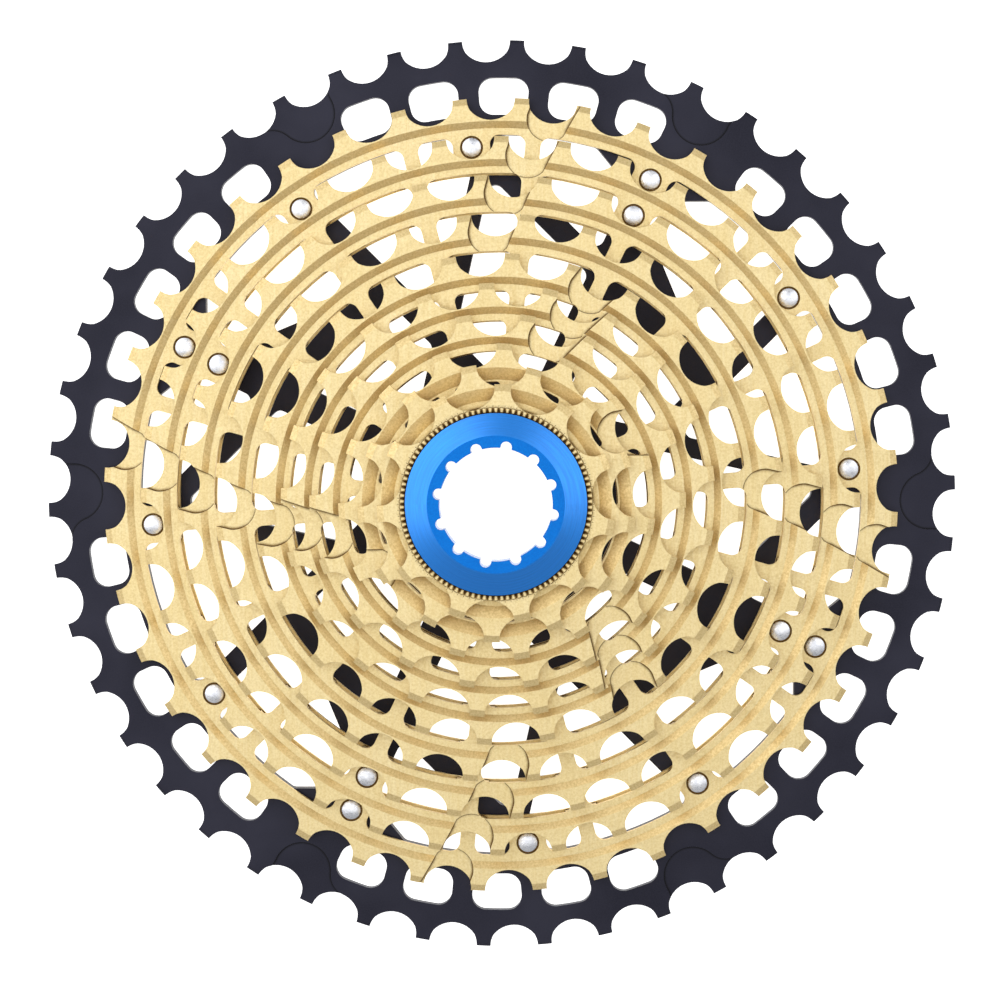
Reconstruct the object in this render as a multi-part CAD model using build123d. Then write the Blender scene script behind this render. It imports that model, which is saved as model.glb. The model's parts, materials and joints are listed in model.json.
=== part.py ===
from build123d import *
import os
from math import asin, atan2, cos, degrees, pi, radians, sin, sqrt

os.makedirs("parts", exist_ok=True)

# Eleven-speed bicycle cassette, 11 to 46 teeth. Millimetres. The hub axis is Z. z = 0 is the
# inboard face, against the wheel hub, and +Z points outboard, towards the frame's dropout.

# ---------------------------------------------------------------- driving dimensions
CHAIN_PITCH = 12.7            # half-inch roller chain
ROOT_BELOW_PITCH = 3.9        # root circle below the pitch circle
TIP_ABOVE_PITCH = 0.6         # worn-in, truncated tooth tips
LEVEL = 3.74                  # axial spacing of eleven-speed sprockets

# Teeth of each sprocket from inboard to outboard, with the angle of one tooth in degrees.
TOOTH_PHASE = {46: 1.76, 40: 5.8, 36: 9.65, 32: 3.07, 28: 7.0, 24: 11.7,
               21: 7.25, 18: 0.5, 15: 15.2, 13: 18.7, 11: 21.2}
SPROCKETS = list(TOOTH_PHASE)

# Gap between two teeth, as height above the root circle and half width.
SEAT_HEIGHT, SEAT_HALF = 2.0, 4.25
FLANK_HEIGHT, FLANK_HALF = 2.85, 4.66
MOUTH_HEIGHT, MOUTH_HALF = 4.6, 4.93

# Steel sprocket section.
PLATE = 1.8                   # thickness at the teeth
RIM_DROP = 0.7                # the web lies this far below the tooth face
RIM_FLAT, RIM_SLOPE, SMALL_RIM_SLOPE = 0.2, 1.4, 2.4
TIP_BEVEL_WIDTH, TIP_BEVEL_DROP = 1.3, 0.55
BACK_BEVEL_WIDTH, BACK_BEVEL_DROP = 0.8, 0.25
WINDOW_BELOW_ROOT = 2.95      # outer edge of the web windows
LAND_ABOVE, LAND_BELOW = 0.7, 3.1    # inner land, measured below the next sprocket's root
COLLAR_OUTER, COLLAR_WALL = 0.9, 2.0  # collar below the root, and its wall
POST_PHASE = 4.6              # one spoke of every web lies at this angle
POST_COUNT, POST_WIDTH = 18, 3.1
SMALL_POST_COUNT = 12
WINDOW_FILLET, WINDOW_ROUNDING = 1.9, 0.4
RIVET_SPOKE_WIDTH = 7.6
SOLID_COLLAR_TEETH = 15       # this sprocket and smaller ones have an unbroken collar
WINDOWED_SPLINED = [15]
COLLAR_POST_WIDTH = 6.5

# Black aluminium carrier: the 46-tooth ring, its spider and the splined hub.
CARRIER_PLATE = 2.0
RING_INNER, LEDGE_RADIUS = 74.3, 75.6
RING_WINDOWS, RING_WINDOW_PHASE = 36, 9.5
RING_WINDOW_INNER, RING_WINDOW_OUTER = 78.4, 86.0
RING_SPOKE_WIDTH = 4.2
RING_WINDOW_FILLET = 2.9
ARM_THICKNESS = 3.0
HUB_FLANGE_RADIUS, HUB_FLANGE_THICKNESS = 26.0, 3.4
HUB_RADIUS, HUB_LENGTH = 20.5, 10.0
SPIDER_ARMS = 4
ARM_ANGLE = 64.6              # radial arms, which carry the inner rivets
RADIAL_ARM_WIDTH = 6.6
TANGENT_ARM_OFFSET, TANGENT_ARM_DIRECTION, TANGENT_ARM_WIDTH = 18.3, 77.4, 4.0
CROSS_ARM_OFFSET, CROSS_ARM_DIRECTION, CROSS_ARM_WIDTH = 14.4, 45.0, 4.6
CHORD_ENDS, CHORD_WIDTH = ((-4.0, 71.1), (39.6, 27.5)), 4.64
NODE_POINT, NODE_RADIUS = (39.6, 27.5), 4.6    # where chord, brace and cross arm meet
BRACE_WIDTH = 3.9
GUSSET_RADIUS, GUSSET_HALF_ANGLE = 68.7, 11.0
SPIDER_FILLET, SPIDER_SMALLEST_VOID = 1.8, 20.0    # smaller slivers are left solid
CARRIER_BEVEL_WIDTH, CARRIER_BEVEL_DROP = 0.6, 0.35

# Shimano-type freehub spline.
SPLINE_RADIUS, KEY_RADIUS = 17.3, 16.1
KEY_COUNT = 9
KEY_WIDTH, INDEX_KEY_WIDTH = 2.5, 1.4
PILOT_RADIUS, PILOT_LENGTH = 17.6, 2.0       # plain mouth ahead of the carrier's keys

# Rivets.
OUTER_RIVETS, OUTER_RIVET_RADIUS, OUTER_RIVET_PHASE = 12, 71.7, 4.6
INNER_RIVETS, INNER_RIVET_RADIUS, INNER_RIVET_PHASE = 4, 63.45, 64.6
RIVET_SHANK, RIVET_HEAD, RIVET_EDGE, RIVET_DOME = 1.5, 1.95, 0.3, 0.62
RIVET_SEAT, RIVET_SEAT_DEPTH = 2.35, 0.4
RIVET_TAIL, RIVET_TAIL_DEPTH = 2.25, 0.75
BOSS_RADIUS, BOSS_PAD_RADIUS, INNER_BOSS_RADIUS = 3.4, 3.1, 2.3

# Shift ramps: the angle of the first on each sprocket, and how many there are.
RAMPS = {40: (79.3, 4), 36: (81.6, 4), 32: (84.5, 4), 28: (87.0, 4),
         24: (60.5, 3), 21: (61.5, 3), 18: (64.0, 3), 15: (20.0, 2)}
RAMP_DEPTH = 0.95             # below the tooth face, so a little below the web too
RAMP_REACH = 5.5              # past the tooth tips
# Ramp outline: distance along the root circle, then height above it.
RAMP_MOUTH, RAMP_HEEL, RAMP_NOSE = -1.9, (0.9, -2.3), (3.8, -3.9)
RAMP_SIDE, RAMP_BROW = (9.0, 0.8), 8.2

# Carrier shift ramps.
CARRIER_RAMPS, CARRIER_RAMP_DEPTH = 6, 0.35
RAMP_NOSE_RADIUS, RAMP_NOSE_ANGLE = 82.8, -0.5         # angles are from the ramp's own tooth
RAMP_TURN_RADIUS, RAMP_TURN_ANGLE = 86.3, 1.5          # where the edge bends back
RAMP_LIP_RADIUS, RAMP_LIP_ANGLE = 88.2, 2.45
RAMP_FIRST_ANGLE, RAMP_LAST_ANGLE = -6.1, 3.9

# Lockring and its seat in the smallest sprocket.
LOCKRING_RADIUS, LOCKRING_BEVEL_RADIUS = 17.6, 13.3
WASHER_SEAT, WASHER_THICKNESS, WASHER_BORE = 38.2, 0.6, 15.5
LOCKRING_SEAT = WASHER_SEAT + WASHER_THICKNESS
LOCKRING_SHOULDER, LOCKRING_TOP = 39.9, 41.2
LOCKRING_BORE, TOOL_NOTCH_OUTER, TOOL_NOTCHES, TOOL_NOTCH_PHASE = 10.95, 12.3, 12, 19.75
TOOL_NOTCH_WIDTH = 2.2
THREAD_RADIUS, THREAD_CHAMFER = 15.3, 0.5
SHANK_BORE, SHANK_END, TOOL_SPLINE_END = 13.2, 30.9, 35.2
COUNTERBORE = 17.75
SHOULDER_BORE, SHOULDER_BASE = 15.6, 36.9
END_BOSS_RADIUS = 18.6
SERRATED_TOP, SERRATIONS, SERRATION_DEPTH = 39.5, 102, 0.35


# ---------------------------------------------------------------- geometry helpers
def pitch_radius(teeth):
    return CHAIN_PITCH / 2 / sin(pi / teeth)


def root_radius(teeth):
    return pitch_radius(teeth) - ROOT_BELOW_PITCH


def tip_radius(teeth):
    return pitch_radius(teeth) + TIP_ABOVE_PITCH


def base_level(teeth):
    return LEVEL * SPROCKETS.index(teeth)


def next_smaller(teeth):
    return SPROCKETS[SPROCKETS.index(teeth) + 1]


def next_larger(teeth):
    return SPROCKETS[SPROCKETS.index(teeth) - 1]


def polar(radius, angle):
    return (radius * cos(radians(angle)), radius * sin(radians(angle)))


def spaced(count, phase):
    return [phase + 360 / count * k for k in range(count)]


def raised(face, low, high):
    return Pos(0, 0, low) * extrude(face, high - low)


def ring(outer, inner, low, high):
    return raised(Circle(outer) - Circle(inner), low, high)


def rod(radius, low, high, centre=(0, 0)):
    return Pos(*centre) * raised(Circle(radius), low, high)


def radial_bar(width, inner, outer, angle):
    bar = Pos((inner + outer) / 2, 0) * Rectangle(outer - inner, width)
    return Rot(0, 0, angle) * bar


def rivet_points(count, radius, phase):
    return [polar(radius, angle) for angle in spaced(count, phase)]


def spun(points):
    """Solid of revolution from (radius, height) points."""
    section = make_face(Polyline([(r, 0, z) for r, z in points], close=True))
    return revolve(section, Axis.Z)


OUTER_RIVET_POINTS = rivet_points(OUTER_RIVETS, OUTER_RIVET_RADIUS, OUTER_RIVET_PHASE)
INNER_RIVET_POINTS = rivet_points(INNER_RIVETS, INNER_RIVET_RADIUS, INNER_RIVET_PHASE)
RIVETED = {40: OUTER_RIVET_POINTS, 36: INNER_RIVET_POINTS}
RIVET_PATTERN = {40: (OUTER_RIVETS, OUTER_RIVET_PHASE), 36: (INNER_RIVETS, INNER_RIVET_PHASE)}


# ---------------------------------------------------------------- teeth
def tooth_gap(teeth):
    """The space that one chain roller drops into, centred on +X."""
    root = root_radius(teeth)
    seat = (root + SEAT_HEIGHT, SEAT_HALF)
    flank = (root + FLANK_HEIGHT, FLANK_HALF)
    mouth = (root + MOUTH_HEIGHT, MOUTH_HALF)
    beyond = root + 2 * MOUTH_HEIGHT
    outline = [
        ThreePointArc((seat[0], -seat[1]), (root, 0), seat),
        ThreePointArc(seat, flank, mouth),
        Line(mouth, (beyond, mouth[1])),
        Line((beyond, mouth[1]), (beyond, -mouth[1])),
        Line((beyond, -mouth[1]), (mouth[0], -mouth[1])),
        ThreePointArc((mouth[0], -mouth[1]), (flank[0], -flank[1]), (seat[0], -seat[1])),
    ]
    return make_face(outline)


def toothed_face(teeth, openings):
    """Flat outline of a sprocket, pierced by openings that don't touch each other."""
    half_step = 180 / teeth
    gap = tooth_gap(teeth)
    gaps = [Rot(0, 0, a + half_step) * gap for a in spaced(teeth, TOOTH_PHASE[teeth])]
    outline = (Circle(tip_radius(teeth)) - gaps).face().outer_wire()
    return Face(outline, [opening.face().outer_wire() for opening in openings])


# ---------------------------------------------------------------- freehub spline
def spline_bore():
    """Bore outline: a round hole with nine keys standing into it, the last one narrow."""
    widths = [KEY_WIDTH] * (KEY_COUNT - 1) + [INDEX_KEY_WIDTH]
    keys = [radial_bar(width, KEY_RADIUS, SPLINE_RADIUS + 1, angle)
            for width, angle in zip(widths, spaced(KEY_COUNT, 0))]
    return Circle(SPLINE_RADIUS) - keys


# ---------------------------------------------------------------- steel sprockets
def rim_slope(teeth):
    """Width of the slope inside the teeth, wider on the smallest sprockets."""
    return SMALL_RIM_SLOPE if teeth <= SOLID_COLLAR_TEETH else RIM_SLOPE


def plate_section(teeth, inner):
    """Bevelled tooth tips, a raised rim and a lower web, spun about the axis."""
    low = base_level(teeth)
    high = low + PLATE
    tip = tip_radius(teeth)
    rim_edge = root_radius(teeth) - RIM_FLAT
    slope_end = rim_edge - rim_slope(teeth)
    return spun([
        (inner, low),
        (tip - BACK_BEVEL_WIDTH, low),
        (tip, low + BACK_BEVEL_DROP),
        (tip, high - TIP_BEVEL_DROP),
        (tip - TIP_BEVEL_WIDTH, high),
        (rim_edge, high),
        (slope_end, high - RIM_DROP),
        (inner, high - RIM_DROP),
    ])


def window(inner, outer, start, end):
    """One window between two spokes, each an (angle, width), with sides along the spokes."""
    corners = []
    for radius, side in ((inner, start), (outer, start), (outer, end), (inner, end)):
        angle, width = side
        lean = degrees(asin(width / 2 / radius))
        corners.append(polar(radius, angle + lean if side == start else angle - lean))
    middle = (start[0] + end[0]) / 2
    return make_face([
        Line(corners[0], corners[1]),
        ThreePointArc(corners[1], polar(outer, middle), corners[2]),
        Line(corners[2], corners[3]),
        ThreePointArc(corners[3], polar(inner, middle), corners[0]),
    ])


def web_spokes(teeth):
    """Angle and width of each spoke; a spoke that holds a rivet is wider."""
    if teeth <= 18:
        return [(a, POST_WIDTH) for a in spaced(SMALL_POST_COUNT, POST_PHASE + 360 / POST_COUNT)]
    widths = {round(angle, 3): POST_WIDTH for angle in spaced(POST_COUNT, POST_PHASE)}
    count, phase = RIVET_PATTERN.get(teeth, (0, 0))
    for angle in spaced(count, phase):
        widths[round(angle % 360, 3)] = RIVET_SPOKE_WIDTH
    return sorted(widths.items())


def web_windows(teeth):
    """Windows between the spokes of a web."""
    outer = root_radius(teeth) - WINDOW_BELOW_ROOT
    inner = root_radius(next_smaller(teeth)) - LAND_ABOVE
    rounding = min(WINDOW_FILLET, WINDOW_ROUNDING * (outer - inner))
    spokes = web_spokes(teeth)
    windows = []
    for start, end in zip(spokes, spokes[1:] + [(spokes[0][0] + 360, spokes[0][1])]):
        opening = window(inner, outer, start, end)
        windows.append(fillet(opening.vertices(), rounding))
    return windows


def ramp_pocket(teeth):
    """Outline of one shift ramp in line with X: a leaning start, a round nose, a curved end."""
    root = root_radius(teeth)
    mouth, heel, nose, side, brow = [
        (root + height, along) for along, height in (
            (RAMP_MOUTH, RAMP_REACH), RAMP_HEEL, RAMP_NOSE, RAMP_SIDE, (RAMP_BROW, RAMP_REACH))]
    return make_face([
        Line(mouth, heel),
        ThreePointArc(heel, nose, side),
        Line(side, brow),
        Line(brow, mouth),
    ])


def ramp_pockets(teeth):
    first, count = RAMPS[teeth]
    pocket = ramp_pocket(teeth)
    return [Rot(0, 0, angle) * pocket for angle in spaced(count, first)]


def web_top(teeth):
    return base_level(teeth) + PLATE - RIM_DROP


def collar(teeth):
    """Wall under a sprocket that seats it on the next larger web: posts, or a whole ring."""
    outer = root_radius(teeth) - COLLAR_OUTER
    inner = outer - COLLAR_WALL
    low = web_top(next_larger(teeth))
    high = base_level(teeth)
    wall = ring(outer, inner, low, high)
    if teeth <= SOLID_COLLAR_TEETH:
        return wall
    posts = [raised(radial_bar(COLLAR_POST_WIDTH, inner - 1, outer + 1, angle), low, high)
             for angle in spaced(POST_COUNT, POST_PHASE)]
    return [wall & post for post in posts]


def toothed_plate(teeth, inner, openings):
    """Toothed plate with its bevels, shift ramps, windows and rivet seats."""
    low = base_level(teeth)
    high = low + PLATE
    points = RIVETED.get(teeth, [])
    rivet_holes = [Pos(*point) * Circle(RIVET_SHANK) for point in points]
    outline = toothed_face(teeth, openings + rivet_holes)
    plate = raised(outline, low, high) & plate_section(teeth, inner)
    if teeth in RAMPS:
        plate -= [raised(pocket, high - RAMP_DEPTH, high) for pocket in ramp_pockets(teeth)]
    if points:
        plate -= [rod(RIVET_SEAT, web_top(teeth) - RIVET_SEAT_DEPTH, high, point)
                  for point in points]
    return plate


def open_sprocket(teeth):
    """A large sprocket: windowed web, and a land inside it for the next smaller sprocket."""
    inner = root_radius(next_smaller(teeth)) - LAND_BELOW
    plate = toothed_plate(teeth, inner - 1, web_windows(teeth) + [Circle(inner)])
    if next_larger(teeth) == SPROCKETS[0]:
        return plate
    return plate + collar(teeth)


def splined_sprocket(teeth):
    """A small sprocket whose web reaches in to the freehub spline."""
    windows = web_windows(teeth) if teeth in WINDOWED_SPLINED else []
    plate = toothed_plate(teeth, KEY_RADIUS - 1, windows + [spline_bore()])
    return plate + collar(teeth)


def serration(angle):
    """One radial V groove across the lip under the lockring."""
    side = SERRATION_DEPTH * sqrt(2)
    length = END_BOSS_RADIUS - COUNTERBORE + 1
    middle = (END_BOSS_RADIUS + COUNTERBORE) / 2
    return Rot(0, 0, angle) * Pos(middle, 0, SERRATED_TOP) * Rot(45, 0, 0) * Box(length, side, side)


def smallest_sprocket():
    """The 11-tooth sprocket: splined boss below, lockring seat and serrated lip above."""
    teeth = SPROCKETS[-1]
    low = base_level(teeth)
    body = toothed_plate(teeth, SHOULDER_BORE - 1, [Circle(SHOULDER_BORE)])
    body += ring(END_BOSS_RADIUS, SHOULDER_BORE, web_top(next_larger(teeth)), SERRATED_TOP)
    body -= raised(spline_bore(), low - LEVEL, SHOULDER_BASE)
    body -= rod(COUNTERBORE, WASHER_SEAT, SERRATED_TOP)
    return body - [serration(angle) for angle in spaced(SERRATIONS, 0)]


# ---------------------------------------------------------------- black carrier
def carrier_section():
    """Bevelled toothed ring, thicker spider disc, hub flange and hub, spun about the axis."""
    tip = tip_radius(SPROCKETS[0])
    shy = tip - CARRIER_BEVEL_WIDTH
    return spun([
        (0, 0),
        (shy, 0),
        (tip, CARRIER_BEVEL_DROP),
        (tip, CARRIER_PLATE - CARRIER_BEVEL_DROP),
        (shy, CARRIER_PLATE),
        (LEDGE_RADIUS, CARRIER_PLATE),
        (LEDGE_RADIUS - ARM_THICKNESS + CARRIER_PLATE, ARM_THICKNESS),
        (HUB_FLANGE_RADIUS - 1, ARM_THICKNESS),
        (HUB_FLANGE_RADIUS - 1, HUB_FLANGE_THICKNESS),
        (HUB_RADIUS, HUB_FLANGE_THICKNESS),
        (HUB_RADIUS, HUB_LENGTH),
        (0, HUB_LENGTH),
    ])


def ring_windows():
    """Windows of the 46-tooth ring, left out where a shift ramp needs the metal."""
    half_step = 180 / RING_WINDOWS
    per_ramp = RING_WINDOWS // CARRIER_RAMPS
    windows = []
    for index, middle in enumerate(spaced(RING_WINDOWS, RING_WINDOW_PHASE)):
        if index % per_ramp == per_ramp - 1:
            continue
        start = (middle - half_step, RING_SPOKE_WIDTH)
        end = (middle + half_step, RING_SPOKE_WIDTH)
        opening = window(RING_WINDOW_INNER, RING_WINDOW_OUTER, start, end)
        windows.append(fillet(opening.vertices(), RING_WINDOW_FILLET))
    return windows


def carrier_ramp(tooth):
    """Round-nosed pocket that takes in one tooth and bends back on its leading side."""
    rim = root_radius(SPROCKETS[0])
    beyond = tip_radius(SPROCKETS[0]) + 1
    first = tooth + RAMP_FIRST_ANGLE
    last = tooth + RAMP_LAST_ANGLE
    turn = polar(RAMP_TURN_RADIUS, tooth + RAMP_TURN_ANGLE)
    nose = polar(RAMP_NOSE_RADIUS, tooth + RAMP_NOSE_ANGLE)
    lip = polar(RAMP_LIP_RADIUS, tooth + RAMP_LIP_ANGLE)
    return make_face([
        ThreePointArc(polar(rim, first), nose, turn),
        ThreePointArc(turn, lip, polar(rim, last)),
        Line(polar(rim, last), polar(beyond, last)),
        Line(polar(beyond, last), polar(beyond, first)),
        Line(polar(beyond, first), polar(rim, first)),
    ])


def carrier_ramps():
    """Six pockets, each at the tooth nearest to a sixth of a turn."""
    teeth = SPROCKETS[0]
    step = 360 / teeth
    return [carrier_ramp(TOOTH_PHASE[teeth] + step * round(index * teeth / CARRIER_RAMPS))
            for index in range(CARRIER_RAMPS)]


def offset_arm(offset, direction, width, start, end):
    """A bar that passes the axis at a distance, positive on its right-hand side."""
    bar = Pos((start + end) / 2, -offset) * Rectangle(end - start, width)
    return Rot(0, 0, direction) * bar


def brace(start, end, width):
    """A bar between two points."""
    run = Vector(*end) - Vector(*start)
    bar = Pos(run.length / 2, 0) * Rectangle(run.length, width)
    return Pos(*start) * Rot(0, 0, degrees(atan2(run.Y, run.X))) * bar


def gusset():
    """Where a radial arm spreads out to meet the ring."""
    half = degrees(asin(RADIAL_ARM_WIDTH / 2 / GUSSET_RADIUS))
    reach = RING_INNER + 1
    return make_face(Polyline([
        polar(reach, ARM_ANGLE - GUSSET_HALF_ANGLE), polar(reach, ARM_ANGLE + GUSSET_HALF_ANGLE),
        polar(GUSSET_RADIUS, ARM_ANGLE + half), polar(GUSSET_RADIUS, ARM_ANGLE - half),
    ], close=True))


def quarter_lattice():
    """The bars of one quarter of the spider."""
    reach = RING_INNER + 2
    inner_rivet = polar(INNER_RIVET_RADIUS, ARM_ANGLE)
    chord_start, chord_end = CHORD_ENDS
    return [
        radial_bar(RADIAL_ARM_WIDTH, HUB_RADIUS, INNER_RIVET_RADIUS + 6, ARM_ANGLE),
        offset_arm(-TANGENT_ARM_OFFSET, TANGENT_ARM_DIRECTION, TANGENT_ARM_WIDTH, 0, reach),
        offset_arm(CROSS_ARM_OFFSET, CROSS_ARM_DIRECTION, CROSS_ARM_WIDTH, 0, reach),
        brace(chord_start, chord_end, CHORD_WIDTH),
        brace(inner_rivet, NODE_POINT, BRACE_WIDTH),
        Pos(*NODE_POINT) * Circle(NODE_RADIUS),
        gusset(),
    ]


def spider_voids():
    """The openings between the spider's bars, with rounded corners."""
    field = Circle(RING_INNER) - Circle(HUB_FLANGE_RADIUS)
    lattice = [Rot(0, 0, turn) * bar
               for turn in spaced(SPIDER_ARMS, 0) for bar in quarter_lattice()]
    lattice += [Pos(*point) * Circle(BOSS_RADIUS) for point in OUTER_RIVET_POINTS]
    voids = [face for face in (field - lattice).faces() if face.area > SPIDER_SMALLEST_VOID]
    return [face.fillet_2d(SPIDER_FILLET, face.vertices()) for face in voids]


def carrier():
    """46-tooth ring, spider and splined hub in one piece."""
    rivet_at = OUTER_RIVET_POINTS + INNER_RIVET_POINTS
    openings = ring_windows() + spider_voids() + [spline_bore()]
    blank = raised(toothed_face(SPROCKETS[0], openings), 0, HUB_LENGTH)
    body = blank & carrier_section()
    body -= [raised(pocket, CARRIER_PLATE - CARRIER_RAMP_DEPTH, CARRIER_PLATE)
             for pocket in carrier_ramps()]
    body += [rod(BOSS_PAD_RADIUS, CARRIER_PLATE / 2, base_level(SPROCKETS[1]), point)
             for point in OUTER_RIVET_POINTS]
    body += [rod(INNER_BOSS_RADIUS, CARRIER_PLATE / 2, base_level(SPROCKETS[2]), point)
             for point in INNER_RIVET_POINTS]
    body -= rod(PILOT_RADIUS, 0, PILOT_LENGTH)
    body -= [rod(RIVET_SHANK, 0, base_level(SPROCKETS[2]), point) for point in rivet_at]
    return body - [Pos(*point) * rivet_tail() for point in rivet_at]


# ---------------------------------------------------------------- rivets
def rivet_tail():
    """Countersunk tail, flush with the back of the carrier."""
    return spun([(0, 0), (RIVET_TAIL, 0), (RIVET_SHANK, RIVET_TAIL_DEPTH),
                 (0, RIVET_TAIL_DEPTH)])


def rivet(point, teeth):
    """Domed head in the seat of one sprocket, shank down to the back of the carrier."""
    seat = web_top(teeth) - RIVET_SEAT_DEPTH
    edge = seat + RIVET_EDGE
    crown = seat + RIVET_DOME
    rise = crown - edge
    sphere = (RIVET_HEAD ** 2 + rise ** 2) / (2 * rise)
    half_angle = asin(RIVET_HEAD / sphere) / 2
    middle = (sphere * sin(half_angle), 0, crown - sphere * (1 - cos(half_angle)))
    profile = make_face([
        Polyline((0, 0, crown), (0, 0, 0), (RIVET_TAIL, 0, 0),
                 (RIVET_SHANK, 0, RIVET_TAIL_DEPTH), (RIVET_SHANK, 0, seat),
                 (RIVET_HEAD, 0, seat), (RIVET_HEAD, 0, edge)),
        ThreePointArc((RIVET_HEAD, 0, edge), middle, (0, 0, crown)),
    ])
    return Pos(*point) * revolve(profile, Axis.Z)


# ---------------------------------------------------------------- lockring
def lockring():
    """Threaded ring with a bevelled flange and twelve tool notches."""
    body = spun([
        (SHANK_BORE, SHANK_END),
        (THREAD_RADIUS - THREAD_CHAMFER, SHANK_END),
        (THREAD_RADIUS, SHANK_END + THREAD_CHAMFER),
        (THREAD_RADIUS, LOCKRING_SEAT),
        (LOCKRING_RADIUS, LOCKRING_SEAT),
        (LOCKRING_RADIUS, LOCKRING_SHOULDER),
        (LOCKRING_BEVEL_RADIUS, LOCKRING_TOP),
        (LOCKRING_BORE, LOCKRING_TOP),
        (LOCKRING_BORE, TOOL_SPLINE_END),
        (SHANK_BORE, TOOL_SPLINE_END),
    ])
    notch_centre = TOOL_NOTCH_OUTER - TOOL_NOTCH_WIDTH / 2
    for angle in spaced(TOOL_NOTCHES, TOOL_NOTCH_PHASE):
        notch = radial_bar(TOOL_NOTCH_WIDTH, LOCKRING_BORE - 1, notch_centre, angle)
        body -= raised(notch, TOOL_SPLINE_END, LOCKRING_TOP)
        body -= rod(TOOL_NOTCH_WIDTH / 2, TOOL_SPLINE_END, LOCKRING_TOP,
                    polar(notch_centre, angle))
    return body


def lockring_washer():
    """Plain steel washer between the lockring's flange and the smallest sprocket."""
    return ring(LOCKRING_RADIUS, WASHER_BORE, WASHER_SEAT, LOCKRING_SEAT)


# ---------------------------------------------------------------- export
def save(shape, name):
    export_step(shape, f"parts/{name}.step")


def main():
    save(carrier(), "sprocket_46t_carrier")
    for teeth in SPROCKETS[1:]:
        if teeth > 15:
            solid = open_sprocket(teeth)
        elif teeth > SPROCKETS[-1]:
            solid = splined_sprocket(teeth)
        else:
            solid = smallest_sprocket()
        save(solid, f"sprocket_{teeth}t")
    for number, point in enumerate(OUTER_RIVET_POINTS, start=1):
        save(rivet(point, SPROCKETS[1]), f"outer_rivet_{number:02d}")
    for number, point in enumerate(INNER_RIVET_POINTS, start=1):
        save(rivet(point, SPROCKETS[2]), f"inner_rivet_{number}")
    save(lockring_washer(), "lockring_washer")
    save(lockring(), "lockring")


main()
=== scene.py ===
"""Looks for the eleven-speed bicycle cassette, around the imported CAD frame. Lengths are in metres."""

import json
from math import pi, radians

import bpy
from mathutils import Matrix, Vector


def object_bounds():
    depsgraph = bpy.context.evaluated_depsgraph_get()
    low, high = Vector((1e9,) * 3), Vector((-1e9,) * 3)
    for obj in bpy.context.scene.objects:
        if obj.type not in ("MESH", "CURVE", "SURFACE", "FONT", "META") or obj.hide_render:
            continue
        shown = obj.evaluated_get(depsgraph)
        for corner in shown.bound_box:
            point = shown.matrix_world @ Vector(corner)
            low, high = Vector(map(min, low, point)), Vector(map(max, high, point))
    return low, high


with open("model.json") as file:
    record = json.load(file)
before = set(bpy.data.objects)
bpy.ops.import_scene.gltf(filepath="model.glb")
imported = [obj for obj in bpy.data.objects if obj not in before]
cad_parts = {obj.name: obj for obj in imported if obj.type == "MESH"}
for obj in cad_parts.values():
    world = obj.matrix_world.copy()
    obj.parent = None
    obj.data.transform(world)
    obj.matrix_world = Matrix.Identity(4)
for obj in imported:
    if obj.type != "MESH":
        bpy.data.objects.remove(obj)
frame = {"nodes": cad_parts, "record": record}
cad_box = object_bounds()

# ---------------------------------------------------------------- driving values
CAMERA_PLACE = (0.01241, 0.02363, 0.5736)     # above the cassette, a little off its axis
CAMERA_TILT = (radians(-2.444), radians(1.246), radians(-0.03))
CAMERA_ANGLE = radians(20.45)
CAMERA_NEAR = 0.01

FLOOR_SIZE = 6.0
FLOOR_GAP = 0.0002                             # between the floor and the cassette
FLOOR_GLOW = 1.0
AMBIENT = 0.45
# Name, place, size and radiance of each light.
SOFTBOXES = (
    ("key_softbox", (-0.72, 0.34, 0.95), (1.3, 1.3), 1.2),
    ("right_softbox", (0.70, 0.30, 1.0), (0.9, 0.9), 1.0),
    ("top_softbox", (0, 0, 1.4), (0.9, 0.9), 0.74),
)

BRUSH_ANGLE = -28.0                            # degrees, of the linear finish on the gold
EDGE_ROUND = 0.00010                           # broken sharp edges
LEVEL_FACE = 0.98                              # cosine to the hub axis of a face that counts as flat
NOISE_LOW, NOISE_HIGH = 0.36, 0.64             # where most of a noise's values lie
COAT_ON_BEVEL, COAT_ON_FACE = 0.80, 0.12       # weight of the lockring's clear film

GOLD = (0.96, 0.81, 0.47)
GOLD_STREAK = (0.88, 0.70, 0.34)
# Gold of the slopes: a blasted finish, made darker to paint the shade the tilted slopes take.
GOLD_BLASTED_AND_SHADED = (0.93, 0.73, 0.37)
# Colour of the grit, also used as a wide painted shade in the gold's corners.
GOLD_GRIT_AND_SHADE = (0.54, 0.37, 0.11)
# Painted shade laid into tight corners and along steps of the gold.
GOLD_PAINTED_SHADE = (0.11, 0.05, 0.006)
BLACK = (0.010, 0.010, 0.022)
BLACK_WORN = (0.034, 0.034, 0.056)
# Painted shade laid into the black carrier's corners and steps.
BLACK_PAINTED_SHADE = (0.001, 0.001, 0.003)
STEEL = (0.93, 0.94, 0.98)
STEEL_DULL = (0.72, 0.74, 0.80)
BLUE = (0.002, 0.175, 0.64)
BLUE_DEEP = (0.001, 0.12, 0.52)
# Paler blue on the lockring's bevel, a painted highlight.
BLUE_BEVEL_HIGHLIGHT = (0.008, 0.28, 0.95)
WHITE = (1.0, 1.0, 1.0)


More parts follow.
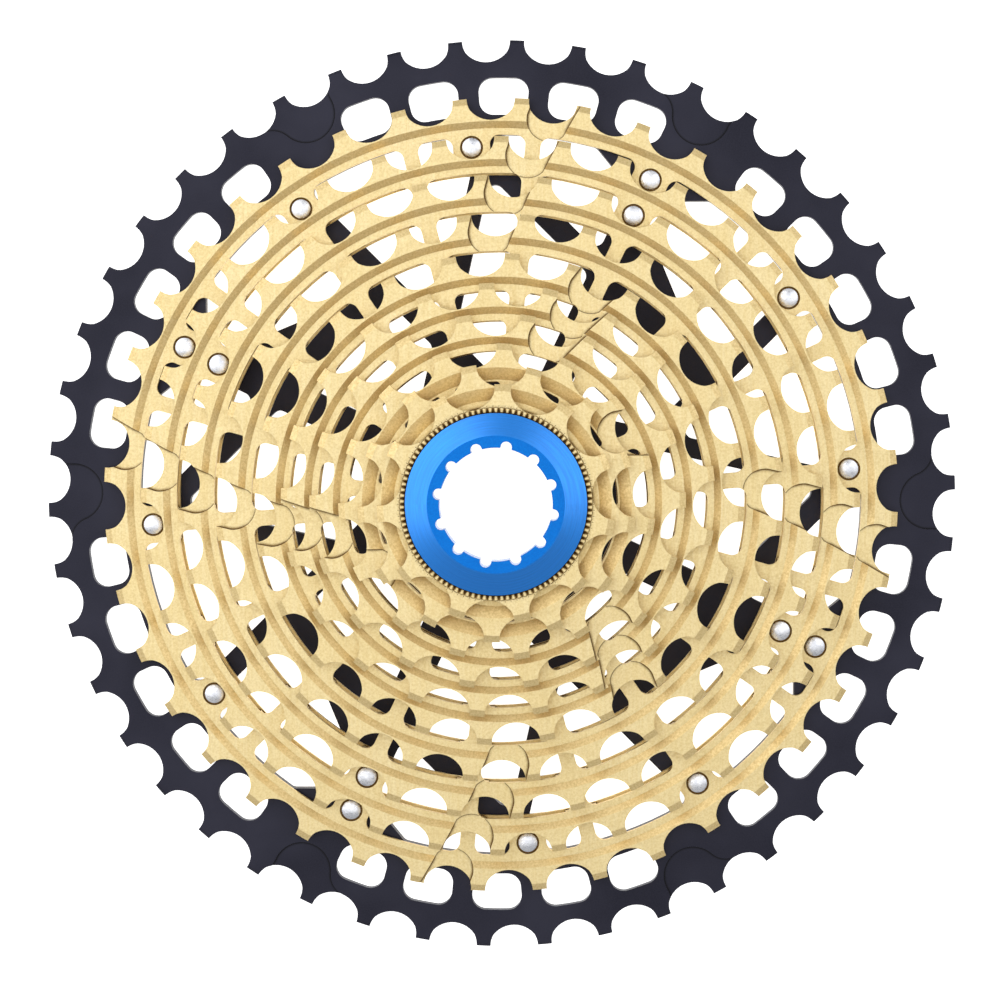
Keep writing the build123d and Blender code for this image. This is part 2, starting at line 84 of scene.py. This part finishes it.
# ---------------------------------------------------------------- node helpers
class Nodes:
    """A small builder for one material's node tree."""

    def __init__(self, name):
        self.material = bpy.data.materials.new(name)
        self.material.use_nodes = True
        self.tree = self.material.node_tree
        self.shader = self.tree.nodes["Principled BSDF"]

    def add(self, kind, **settings):
        node = self.tree.nodes.new(kind)
        for key, value in settings.items():
            setattr(node, key, value)
        return node

    def link(self, source, target):
        self.tree.links.new(source, target)

    def feed(self, socket, value):
        """Links a socket, or sets a plain value."""
        if isinstance(value, bpy.types.NodeSocket):
            self.link(value, socket)
        else:
            socket.default_value = value

    def math(self, operation, first, second=0.0):
        node = self.add("ShaderNodeMath", operation=operation)
        self.feed(node.inputs[0], first)
        self.feed(node.inputs[1], second)
        return node.outputs[0]

    def place(self):
        """Object coordinates, in metres in the row frame."""
        return self.add("ShaderNodeTexCoord").outputs["Object"]

    def polar(self):
        """Radius, angle and height about the hub axis."""
        parts = self.add("ShaderNodeSeparateXYZ")
        self.link(self.place(), parts.inputs[0])
        x, y, z = parts.outputs
        squares = self.math("ADD", self.math("MULTIPLY", x, x), self.math("MULTIPLY", y, y))
        return self.math("SQRT", squares), self.math("ARCTAN2", y, x), z

    def noise(self, scale, detail=3.0, roughness=0.5, vector=None):
        node = self.add("ShaderNodeTexNoise")
        self.link(vector if vector else self.place(), node.inputs["Vector"])
        node.inputs["Scale"].default_value = scale
        node.inputs["Detail"].default_value = detail
        node.inputs["Roughness"].default_value = roughness
        return node.outputs["Fac"]

    def turned(self, lines_per_metre, stretch=2.0):
        """Fine circular tool marks about the hub axis."""
        radius, angle, height = self.polar()
        vector = self.add("ShaderNodeCombineXYZ")
        self.link(self.math("MULTIPLY", radius, lines_per_metre), vector.inputs[0])
        self.link(self.math("MULTIPLY", angle, stretch), vector.inputs[1])
        self.link(self.math("MULTIPLY", height, lines_per_metre), vector.inputs[2])
        return self.noise(1.0, detail=2.0, vector=vector.outputs[0])

    def brushed(self, across, along, angle):
        """Fine straight brush marks at one angle over the whole face."""
        turn = self.add("ShaderNodeMapping")
        self.link(self.place(), turn.inputs["Vector"])
        turn.inputs["Rotation"].default_value[2] = radians(angle)
        turn.inputs["Scale"].default_value = (across, along, across)
        return self.noise(1.0, detail=3.0, roughness=0.6, vector=turn.outputs[0])

    def spread(self, value, low, high):
        """Maps the middle of a noise's range onto low to high."""
        node = self.add("ShaderNodeMapRange")
        self.link(value, node.inputs["Value"])
        node.inputs["From Min"].default_value = NOISE_LOW
        node.inputs["From Max"].default_value = NOISE_HIGH
        node.inputs["To Min"].default_value = low
        node.inputs["To Max"].default_value = high
        return node.outputs[0]

    def mix(self, factor, first, second):
        node = self.add("ShaderNodeMix", data_type="RGBA")
        self.feed(node.inputs["Factor"], factor)
        for socket, colour in ((node.inputs["A"], first), (node.inputs["B"], second)):
            if isinstance(colour, tuple):
                socket.default_value = (*colour, 1.0)
            else:
                self.link(colour, socket)
        return node.outputs["Result"]

    def bump(self, height, distance, strength=1.0, under=None):
        node = self.add("ShaderNodeBump")
        node.inputs["Strength"].default_value = strength
        node.inputs["Distance"].default_value = distance
        self.link(height, node.inputs["Height"])
        if under:
            self.link(under, node.inputs["Normal"])
        return node.outputs["Normal"]

    def soft_edges(self, radius=EDGE_ROUND):
        node = self.add("ShaderNodeBevel", samples=4)
        node.inputs["Radius"].default_value = radius
        return node.outputs["Normal"]

    def flatness(self):
        """1 on faces square to the hub axis, 0 on slopes and walls."""
        parts = self.add("ShaderNodeSeparateXYZ")
        self.link(self.add("ShaderNodeNewGeometry").outputs["True Normal"], parts.inputs[0])
        upright = self.math("ABSOLUTE", parts.outputs["Z"])
        return self.math("GREATER_THAN", upright, LEVEL_FACE)

    def painted_corner_shade(self, reach, depth, start=0.85, full=0.45):
        """Painted shade mask from ambient occlusion: up to depth in corners within reach, 0 while
        openness is above start, depth below full.
        """
        node = self.add("ShaderNodeAmbientOcclusion", samples=8)
        node.inputs["Distance"].default_value = reach
        shut = self.add("ShaderNodeMapRange")
        self.link(node.outputs["AO"], shut.inputs["Value"])
        shut.inputs["From Min"].default_value = start
        shut.inputs["From Max"].default_value = full
        shut.inputs["To Max"].default_value = depth
        return shut.outputs[0]

    def finish(self, colour, roughness, normal, metallic=1.0, **others):
        self.feed(self.shader.inputs["Base Color"], colour)
        self.feed(self.shader.inputs["Roughness"], roughness)
        self.feed(self.shader.inputs["Metallic"], metallic)
        self.link(normal, self.shader.inputs["Normal"])
        for name, value in others.items():
            self.feed(self.shader.inputs[name], value)
        return self.material


# ---------------------------------------------------------------- materials
def gold_steel():
    """Gold coated steel, streaked on its faces, gritty and darker on its slopes, with painted shade in
    its corners; the slopes' darker gold is partly painted shade, their grit a blasted finish.
    """
    n = Nodes("gold_steel")
    flat = n.flatness()
    cloud = n.noise(60.0, detail=4.0)
    grit = n.noise(2300.0, detail=3.0, roughness=0.7)
    marks = n.turned(2600.0, stretch=6.0)
    brush = n.brushed(1800.0, 110.0, BRUSH_ANGLE)
    turned = n.mix(n.spread(marks, 0.0, 0.25), GOLD, GOLD_STREAK)
    streaked = n.mix(n.spread(brush, 0.0, 0.6), turned, GOLD_STREAK)
    clouded = n.mix(n.spread(cloud, 0.0, 0.5), streaked, GOLD_STREAK)
    face = n.mix(n.spread(grit, 0.0, 0.25), clouded, GOLD_GRIT_AND_SHADE)
    # Slopes and walls get more grit and a darker gold; the grit is their blasted finish, the darker
    # tone is painted shade.
    slope = n.mix(n.spread(grit, 0.0, 0.42), GOLD_BLASTED_AND_SHADED, GOLD_GRIT_AND_SHADE)
    surface = n.mix(flat, slope, face)
    # Painted shade: the gold is pulled towards the grit colour in corners within 3 mm, then darkened
    # fully in tight corners and along steps.
    corner_shaded = n.mix(n.painted_corner_shade(0.0030, 0.22), surface, GOLD_GRIT_AND_SHADE)
    colour = n.mix(n.painted_corner_shade(0.0008, 1.0, start=0.92, full=0.60), corner_shaded, GOLD_PAINTED_SHADE)
    roughness = n.spread(grit, 0.36, 0.54)
    relief = n.bump(grit, 0.000045, strength=0.8, under=n.soft_edges())
    normal = n.bump(marks, 0.000012, strength=0.5, under=relief)
    return n.finish(colour, roughness, normal, metallic=0.8)


def black_anodised():
    """Bead-blasted aluminium under a black anodised film, with painted shade in its corners and along
    steps.
    """
    n = Nodes("black_anodised")
    cloud = n.noise(45.0, detail=3.0)
    grain = n.noise(3600.0, detail=2.0, roughness=0.6)
    satin = n.mix(n.spread(cloud, 0.0, 0.6), BLACK, BLACK_WORN)
    surface = n.mix(n.spread(grain, 0.0, 0.3), satin, BLACK_WORN)
    # Painted shade: near-black where ambient occlusion finds tight corners and steps.
    colour = n.mix(n.painted_corner_shade(0.0006, 1.0, start=0.97, full=0.70), surface, BLACK_PAINTED_SHADE)
    normal = n.bump(grain, 0.000016, under=n.soft_edges())
    return n.finish(colour, n.spread(grain, 0.40, 0.54), normal, metallic=0.6)


def rivet_steel():
    """Tumbled rivet heads with small dents from the setting tool."""
    n = Nodes("rivet_steel")
    cloud = n.noise(700.0, detail=3.0)
    fleck = n.noise(2400.0, detail=2.0, roughness=0.6)
    colour = n.mix(n.spread(cloud, 0.0, 0.9), STEEL, STEEL_DULL)
    dents = n.bump(cloud, 0.00010, strength=0.6, under=n.soft_edges(0.0002))
    normal = n.bump(fleck, 0.00002, strength=0.6, under=dents)
    return n.finish(colour, n.spread(fleck, 0.24, 0.42), normal)


def washer_steel():
    """Plain turned steel washer."""
    n = Nodes("washer_steel")
    marks = n.turned(4200.0)
    colour = n.mix(n.spread(marks, 0.0, 0.6), STEEL, STEEL_DULL)
    normal = n.bump(marks, 0.00001, under=n.soft_edges())
    return n.finish(colour, n.spread(marks, 0.24, 0.38), normal)


def blue_anodised():
    """Turned aluminium, anodised blue, with a glossier film on its bevel and a paler blue there that
    paints its highlight.
    """
    n = Nodes("blue_anodised")
    flat = n.flatness()
    marks = n.turned(5200.0)
    grain = n.noise(3800.0, detail=2.0)
    face = n.mix(n.spread(grain, 0.0, 0.5), BLUE, BLUE_DEEP)
    # Painted highlight: the bevel all round is a paler blue than the face.
    bevel = n.mix(n.spread(marks, 0.0, 0.4), BLUE_BEVEL_HIGHLIGHT, BLUE)
    colour = n.mix(flat, bevel, face)
    relief = n.bump(grain, 0.000010, under=n.soft_edges())
    normal = n.bump(marks, 0.000010, strength=0.6, under=relief)
    thinning = n.math("MULTIPLY", flat, COAT_ON_BEVEL - COAT_ON_FACE)
    film = {
        "Coat Weight": n.math("SUBTRACT", COAT_ON_BEVEL, thinning),
        "Coat Roughness": 0.25,
        "Coat IOR": 1.6,
    }
    return n.finish(colour, n.spread(marks, 0.28, 0.40), normal, **film)


def floor_white():
    """Evenly lit white table."""
    n = Nodes("floor_white")
    cloud = n.noise(3.0)
    colour = n.mix(n.spread(cloud, 0.0, 0.04), WHITE, (0.96, 0.96, 0.97))
    n.link(colour, n.shader.inputs["Emission Color"])
    n.shader.inputs["Emission Strength"].default_value = FLOOR_GLOW
    n.link(colour, n.shader.inputs["Base Color"])
    n.shader.inputs["Roughness"].default_value = 0.9
    return n.material


MAKERS = {
    "gold_steel": gold_steel,
    "black_anodised": black_anodised,
    "rivet_steel": rivet_steel,
    "washer_steel": washer_steel,
    "blue_anodised": blue_anodised,
}


def dress():
    """Gives every CAD node the material of its slot."""
    made = {slot: make() for slot, make in MAKERS.items()}
    for entry in frame["record"]["subparts"]:
        node = frame["nodes"][entry["node"]]
        node.data.materials.clear()
        node.data.materials.append(made[entry["material_slot"]])


# ---------------------------------------------------------------- stage
def make_floor():
    bpy.ops.mesh.primitive_plane_add(size=FLOOR_SIZE, location=(0, 0, cad_box[0][2] - FLOOR_GAP))
    floor = bpy.context.object
    floor.name = "floor"
    floor.data.materials.append(floor_white())


def make_camera():
    camera = bpy.data.objects.new("camera", bpy.data.cameras.new("camera"))
    camera.location = CAMERA_PLACE
    camera.rotation_euler = CAMERA_TILT
    camera.data.angle = CAMERA_ANGLE
    camera.data.clip_start = CAMERA_NEAR
    bpy.context.collection.objects.link(camera)
    bpy.context.scene.camera = camera


def softbox(name, place, size, radiance):
    """A rectangular light of even radiance, turned to face the hub."""
    light = bpy.data.lights.new(name, "AREA")
    light.shape = "RECTANGLE"
    light.size, light.size_y = size
    light.energy = radiance * pi * size[0] * size[1]
    lamp = bpy.data.objects.new(name, light)
    lamp.location = place
    lamp.rotation_euler = Vector(place).to_track_quat("Z", "Y").to_euler()
    bpy.context.collection.objects.link(lamp)


def make_lights():
    for name, place, size, radiance in SOFTBOXES:
        softbox(name, place, size, radiance)
    world = bpy.data.worlds.new("studio")
    world.use_nodes = True
    background = world.node_tree.nodes["Background"]
    background.inputs["Color"].default_value = (1, 1, 1, 1)
    background.inputs["Strength"].default_value = AMBIENT
    bpy.context.scene.world = world
    bpy.context.scene.view_settings.view_transform = "Standard"


dress()
make_floor()
make_camera()
make_lights()
